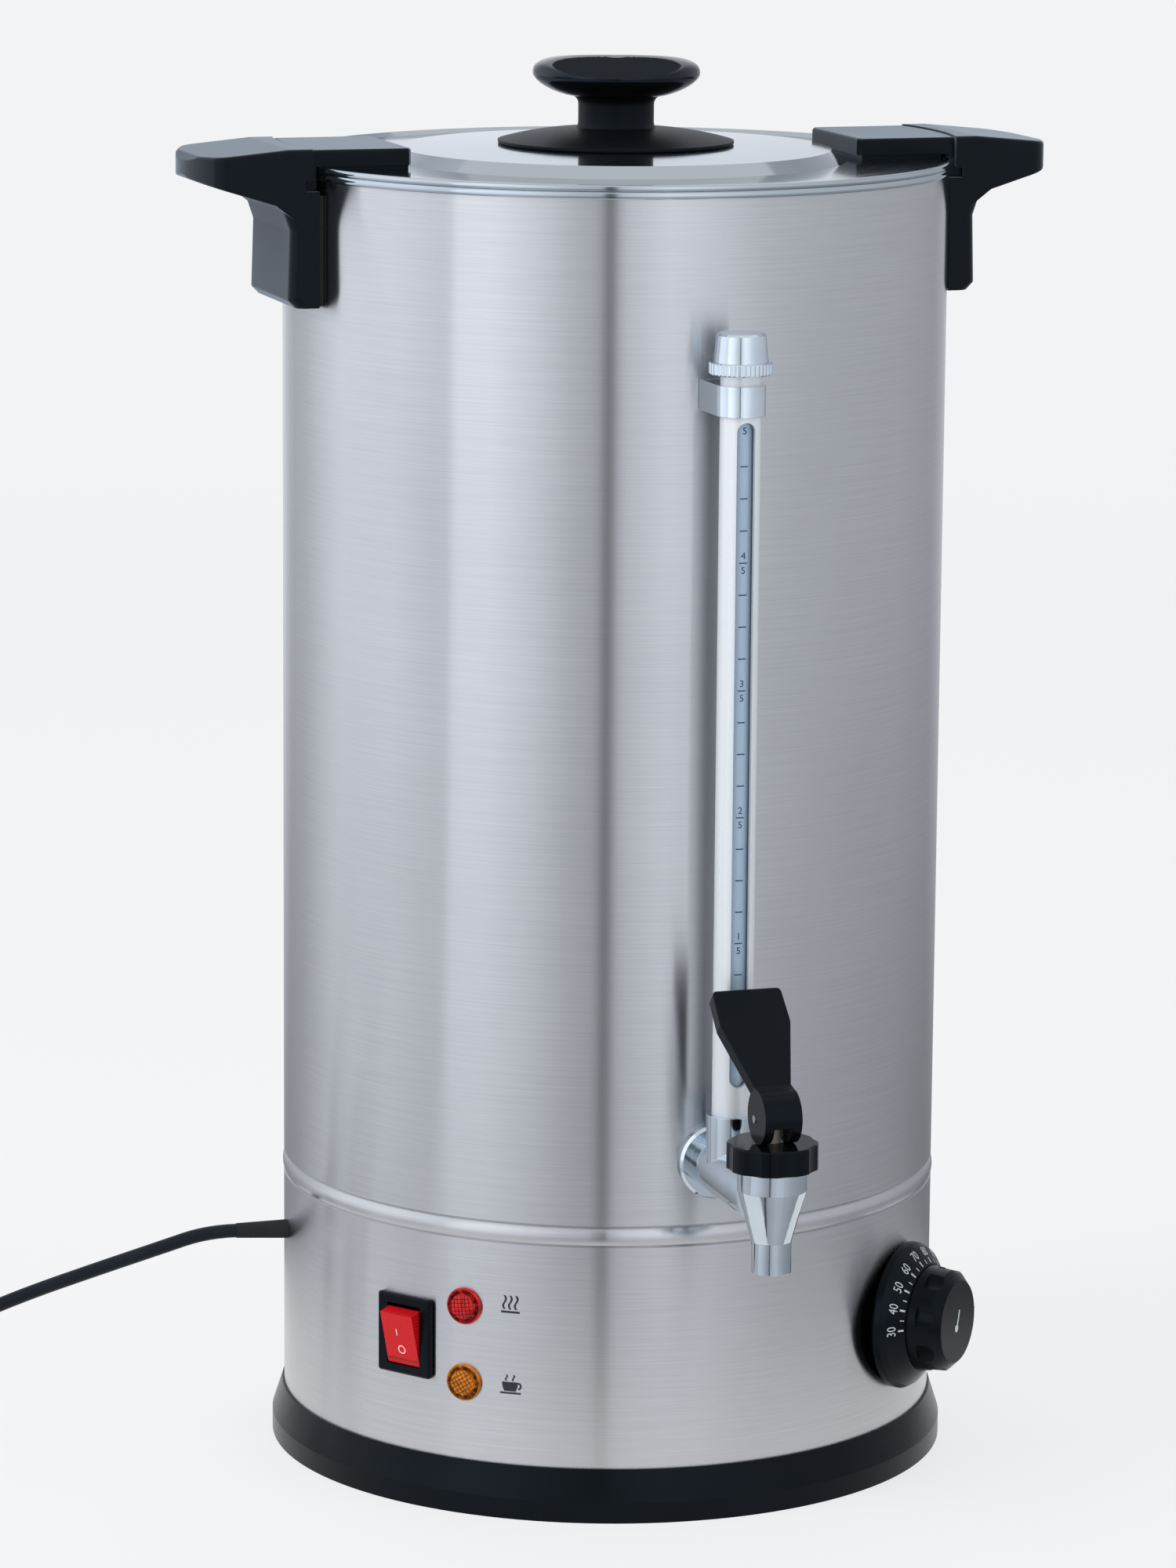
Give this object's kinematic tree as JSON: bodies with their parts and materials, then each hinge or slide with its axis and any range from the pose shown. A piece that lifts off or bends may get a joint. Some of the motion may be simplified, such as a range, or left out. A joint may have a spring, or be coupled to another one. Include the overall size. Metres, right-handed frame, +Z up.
{
  "type": "hot water urn",
  "caption": "Upright heated steel water urn with a bayonet lid, side handles, front lever tap, level gauge, temperature dial, rocker switch and mains lead.",
  "frame": {"origin": "on the barrel's axis, at the underside of the base ring, which is the floor", "axes": "+Z up along the barrel's axis, -Y towards the front where the tap is, side handles at +X and -X"},
  "size_m": [0.5758, 0.4536, 0.5426],
  "materials": {
    "brushed_barrel": "brushed round the barrel",
    "bright_lid": "polished",
    "bare_steel": "plain",
    "black_plastic": "fine moulded satin",
    "soft_black": "matte",
    "silicone": "soft matte",
    "plated_chrome": "bright plate",
    "satin_tube": "satin plate",
    "clear_tube": "clear",
    "cast_aluminium": "as cast",
    "contact_brass": "plain",
    "valve_plastic": "smooth",
    "thermostat_case": "matte",
    "spindle_steel": "turned",
    "wire_cover": "smooth",
    "blanket": "needled wool",
    "red_rocker": "fine grained",
    "red_lens": "cross-hatched, clear",
    "amber_lens": "cross-hatched, clear"
  },
  "bodies": {
    "urn": {"outer_barrel": "brushed_barrel", "base_shell": "brushed_barrel", "inner_tank": "bright_lid", "tank_band": "bright_lid", "tank_floor": "bright_lid", "bottom_plate": "bare_steel", "base_screws": "bare_steel", "lock_nuts": "bare_steel", "handle_screws": "bare_steel", "clip_screw": "bare_steel", "tap_nut": "bare_steel", "valve_spring": "bare_steel", "thermal_cutout": "bare_steel", "capillary_bulb": "bare_steel", "heater_pins": "bare_steel", "base_ring": "black_plastic", "left_handle": "black_plastic", "right_handle": "black_plastic", "dial_bezel": "black_plastic", "switch_housing": "black_plastic", "tap_bonnet": "black_plastic", "plug_body": "black_plastic", "lamp_bodies": "black_plastic", "rubber_feet": "soft_black", "left_gasket": "soft_black", "right_gasket": "soft_black", "cord_gland": "soft_black", "power_cord": "soft_black", "cord_coil": "soft_black", "coil_tie": "soft_black", "sight_seals": "silicone", "tap_washers": "silicone", "tap_body": "plated_chrome", "tap_flange": "plated_chrome", "sight_cap": "plated_chrome", "tube_clip": "plated_chrome", "sight_tube": "satin_tube", "sight_glass": "clear_tube", "heater_plate": "cast_aluminium", "switch_tabs": "contact_brass", "plug_pins": "contact_brass", "thermostat_body": "thermostat_case", "terminal_block": "thermostat_case", "inner_wires": "wire_cover", "insulation_wrap": "blanket", "red_lamp": "red_lens", "amber_lamp": "amber_lens"},
    "lid": {"lid": "bright_lid", "left_lug": "black_plastic", "right_lug": "black_plastic", "lug_screws": "bare_steel", "lid_knob": "black_plastic", "knob_screw": "bare_steel"},
    "valve": {"valve_stem": "valve_plastic", "seat_cup": "silicone", "lever_pin": "bare_steel"},
    "lever": {"tap_lever": "black_plastic"},
    "rocker": {"switch_rocker": "red_rocker"},
    "dial": {"dial_knob": "black_plastic", "thermostat_spindle": "spindle_steel"}
  },
  "joints": [
    {"name": "lid_turn", "type": "hinge", "parent": "urn", "child": "lid", "pos_m": [0, 0, 0.5018], "axis": [0, 0, 1], "range_deg": [0, 40]},
    {"name": "valve_lift", "type": "slide", "parent": "urn", "child": "valve", "axis": [0, 0, 1], "range_m": [0, 0.0022], "stiffness_N_per_m": 1500, "springref_m": -0.004, "deforming": ["valve_spring"]},
    {"name": "lever_tilt", "type": "hinge", "parent": "valve", "child": "lever", "pos_m": [0, -0.1925, 0.17065], "axis": [1, 0, 0], "range_deg": [0, 50]},
    {"name": "rocker_tip", "type": "hinge", "parent": "urn", "child": "rocker", "pos_m": [-0.10344, -0.07351, 0.065], "axis": [-0.5793, 0.8151, 0], "range_deg": [0, 28]},
    {"name": "dial_turn", "type": "hinge", "parent": "urn", "child": "dial", "pos_m": [0.09899, -0.09899, 0.062], "axis": [0.7071, -0.7071, 0], "range_deg": [-5, 190]}
  ],
  "couplings": [
    {"joint": "lever_tilt", "follows": "valve_lift", "rad_per_m": 396.66}
  ]
}
